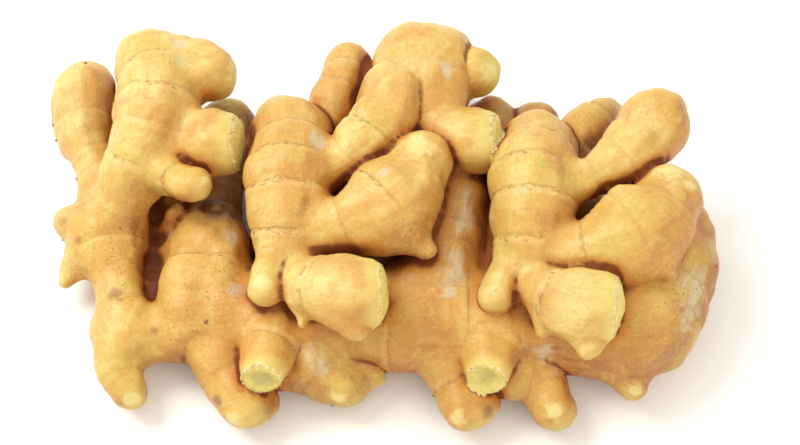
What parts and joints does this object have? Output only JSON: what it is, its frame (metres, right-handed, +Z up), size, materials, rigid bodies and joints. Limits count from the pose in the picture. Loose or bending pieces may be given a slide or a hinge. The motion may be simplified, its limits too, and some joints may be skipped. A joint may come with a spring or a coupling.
{
  "type": "ginger root",
  "caption": "Large fresh hand of ginger: one knobbly branched rhizome with stubby ringed fingers, lying flat, some ends snapped off.",
  "frame": {"origin": "centre of the bounding box in plan, at the height of the flats the root rests on", "axes": "+X along the mother rhizome, towards its thicker end; +Y towards the back, where the long fingers point; +Z up"},
  "size_m": [0.2448, 0.1522, 0.0617],
  "materials": {
    "ginger_skin": "thin satin plant skin, golden tan, paler at finger tips and snapped ends"
  },
  "bodies": {
    "root": {"ginger_root": "ginger_skin"}
  },
  "joints": []
}
